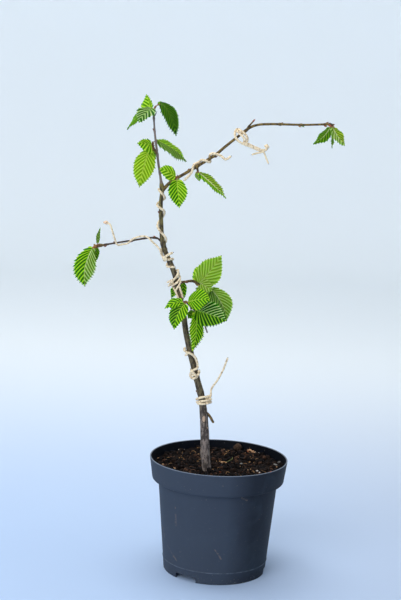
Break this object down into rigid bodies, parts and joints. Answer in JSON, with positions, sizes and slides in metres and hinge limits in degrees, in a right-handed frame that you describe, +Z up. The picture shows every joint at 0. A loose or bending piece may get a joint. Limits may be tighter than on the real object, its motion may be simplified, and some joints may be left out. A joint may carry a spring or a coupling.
{
  "type": "potted european hornbeam",
  "caption": "Young trained hornbeam with sparse pleated leaves, bound with paper-covered tie wire, in a round plastic nursery pot of peat.",
  "frame": {"origin": "centre of the pot's flat underside, which stands on the ground", "axes": "+Z up along the pot's axis; -Y is the plant's best side, with the long level bough to +X and the short one to -X"},
  "size_m": [0.2787, 0.1498, 0.5121],
  "materials": {
    "pot_plastic": "moulded recycled polypropylene, slate black, half matt with scuffs and dust",
    "peat": "moist crumbly peat with fibres",
    "bark": "smooth grey-brown young bark, finely fissured low down",
    "twig_bark": "brown one-year bark with pale lenticels",
    "foliage": "fresh pleated leaf with a soft sheen",
    "tie_paper": "matt cream paper wound round a thin wire"
  },
  "bodies": {
    "root": {"pot": "pot_plastic", "soil": "peat", "trunk": "bark", "bough_right": "twig_bark", "bough_left": "twig_bark", "foliage_top": "foliage", "foliage_second": "foliage", "foliage_fork": "foliage", "foliage_fork_back": "foliage", "foliage_inner": "foliage", "foliage_right_tip": "foliage", "foliage_left_tip": "foliage", "foliage_middle_back": "foliage", "foliage_middle_front": "foliage", "tie_upper": "tie_paper", "tie_middle": "tie_paper", "tie_lower": "tie_paper", "tie_foot": "tie_paper", "tie_bough_inner": "tie_paper", "tie_bough_outer": "tie_paper"}
  },
  "joints": []
}
